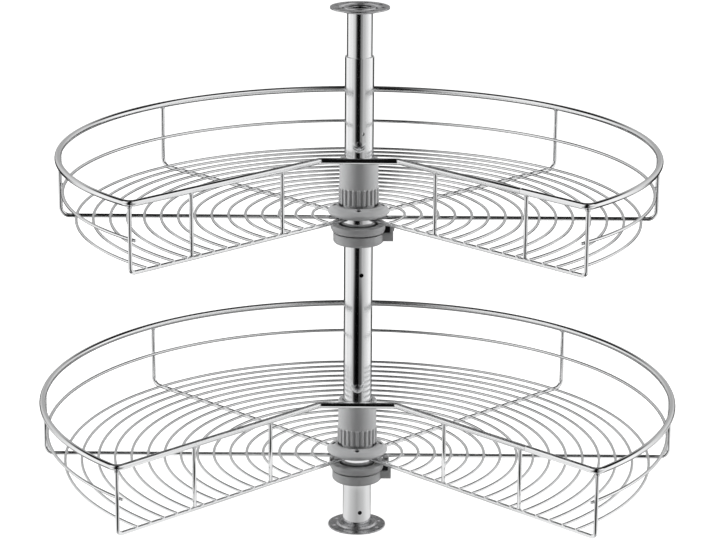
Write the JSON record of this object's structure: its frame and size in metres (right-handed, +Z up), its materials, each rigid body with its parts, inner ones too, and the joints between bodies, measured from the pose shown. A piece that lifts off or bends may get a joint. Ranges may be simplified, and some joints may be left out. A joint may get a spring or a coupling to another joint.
{
  "type": "corner carousel unit",
  "caption": "Three-quarter wire baskets that turn one above the other on a telescopic pole, for a corner cupboard.",
  "frame": {"origin": "middle of the foot flange's underside, where the pole's axis meets the cupboard's floor", "axes": "+Z up along the pole, -Y towards the open corner of the baskets, +X to the right seen from there"},
  "size_m": [0.7108, 0.6067, 0.598],
  "materials": {
    "chrome_wire": "bright chrome plate on round steel wire",
    "chrome_tube": "bright chrome plate on steel tube",
    "pressed_steel": "pressed sheet steel, zinc plated, grey",
    "plated_screw": "zinc plated screw",
    "grey_plastic": "moulded plastic, mid grey, satin",
    "white_nylon": "moulded nylon, off white",
    "black_screw": "black oxide steel"
  },
  "bodies": {
    "stand": {"foot_flange": "pressed_steel", "foot_spigot": "pressed_steel", "main_pole": "chrome_tube", "lower_pole_screw": "plated_screw", "upper_pole_screw": "plated_screw"},
    "ceiling_tube": {"inner_tube": "chrome_tube", "ceiling_flange": "pressed_steel"},
    "lower_carrier": {"lower_clamp_ring": "grey_plastic", "lower_clamp_screw": "black_screw", "lower_set_screw": "black_screw", "lower_stop_collar": "grey_plastic", "lower_thrust_washer": "pressed_steel"},
    "lower_basket": {"lower_rim": "chrome_wire", "lower_notch_bar": "chrome_wire", "lower_floor_grid": "chrome_wire", "lower_left_wire": "chrome_wire", "lower_right_wire": "chrome_wire", "lower_back_left_wire": "chrome_wire", "lower_back_right_wire": "chrome_wire", "lower_middle_rail": "chrome_wire", "lower_left_inner_upright": "chrome_wire", "lower_left_outer_upright": "chrome_wire", "lower_right_inner_upright": "chrome_wire", "lower_right_outer_upright": "chrome_wire", "lower_hub_sleeve": "grey_plastic", "lower_hub_ring": "grey_plastic", "lower_hub_screw_back": "plated_screw", "lower_hub_screw_right": "plated_screw", "lower_hub_screw_front": "plated_screw", "lower_hub_screw_left": "plated_screw", "lower_bearing_bush": "white_nylon"},
    "upper_carrier": {"upper_clamp_ring": "grey_plastic", "upper_clamp_screw": "black_screw", "upper_set_screw": "black_screw", "upper_stop_collar": "grey_plastic", "upper_thrust_washer": "pressed_steel"},
    "upper_basket": {"upper_rim": "chrome_wire", "upper_notch_bar": "chrome_wire", "upper_floor_grid": "chrome_wire", "upper_left_wire": "chrome_wire", "upper_right_wire": "chrome_wire", "upper_back_left_wire": "chrome_wire", "upper_back_right_wire": "chrome_wire", "upper_middle_rail": "chrome_wire", "upper_left_inner_upright": "chrome_wire", "upper_left_outer_upright": "chrome_wire", "upper_right_inner_upright": "chrome_wire", "upper_right_outer_upright": "chrome_wire", "upper_hub_sleeve": "grey_plastic", "upper_hub_ring": "grey_plastic", "upper_hub_screw_back": "plated_screw", "upper_hub_screw_right": "plated_screw", "upper_hub_screw_front": "plated_screw", "upper_hub_screw_left": "plated_screw", "upper_bearing_bush": "white_nylon"}
  },
  "joints": [
    {"name": "ceiling_extend", "type": "slide", "parent": "stand", "child": "ceiling_tube", "axis": [0, 0, 1], "range_m": [-0.045, 0.15]},
    {"name": "lower_shelf_height", "type": "slide", "parent": "stand", "child": "lower_carrier", "axis": [0, 0, 1], "range_m": [-0.04, 0.008]},
    {"name": "upper_shelf_height", "type": "slide", "parent": "stand", "child": "upper_carrier", "axis": [0, 0, 1], "range_m": [-0.1, 0.01]},
    {"name": "lower_turn", "type": "hinge", "parent": "lower_carrier", "child": "lower_basket", "pos_m": [0, 0, 0.085], "axis": [0, 0, 1], "continuous": true},
    {"name": "upper_turn", "type": "hinge", "parent": "upper_carrier", "child": "upper_basket", "pos_m": [0, 0, 0.3635], "axis": [0, 0, 1], "continuous": true}
  ]
}
